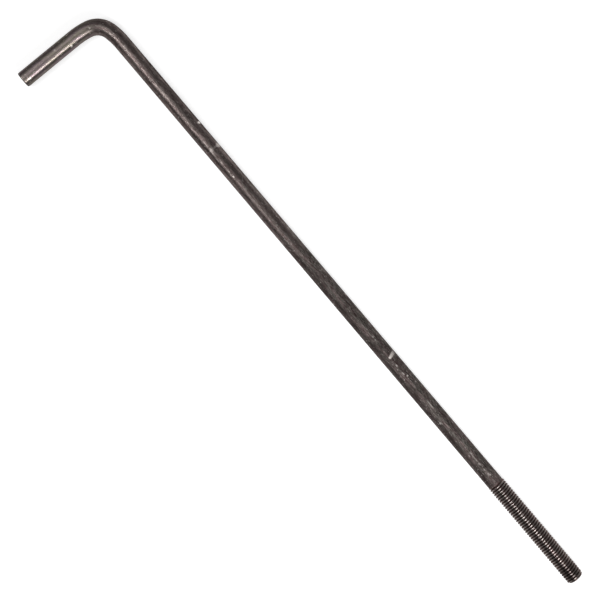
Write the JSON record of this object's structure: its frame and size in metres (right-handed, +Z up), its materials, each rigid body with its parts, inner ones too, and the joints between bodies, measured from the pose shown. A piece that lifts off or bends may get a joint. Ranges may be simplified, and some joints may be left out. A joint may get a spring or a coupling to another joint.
{
  "type": "anchor bolt",
  "caption": "L-shaped anchor bolt for concrete: a long round steel bar with a threaded end and a short hook bent square to it.",
  "frame": {"origin": "under the centre of the bolt's bounding box, on the surface that it lies on", "axes": "+X along the shaft towards the threaded end, hook towards -Y, +Z up from the surface that it lies on"},
  "size_m": [0.5148, 0.0756, 0.0126],
  "materials": {
    "black_steel": "plain hot-rolled steel under thin dark mill scale, drawn lengthwise and lightly oiled, satin, with rolled thread"
  },
  "bodies": {
    "root": {"anchor_bolt": "black_steel"}
  },
  "joints": []
}
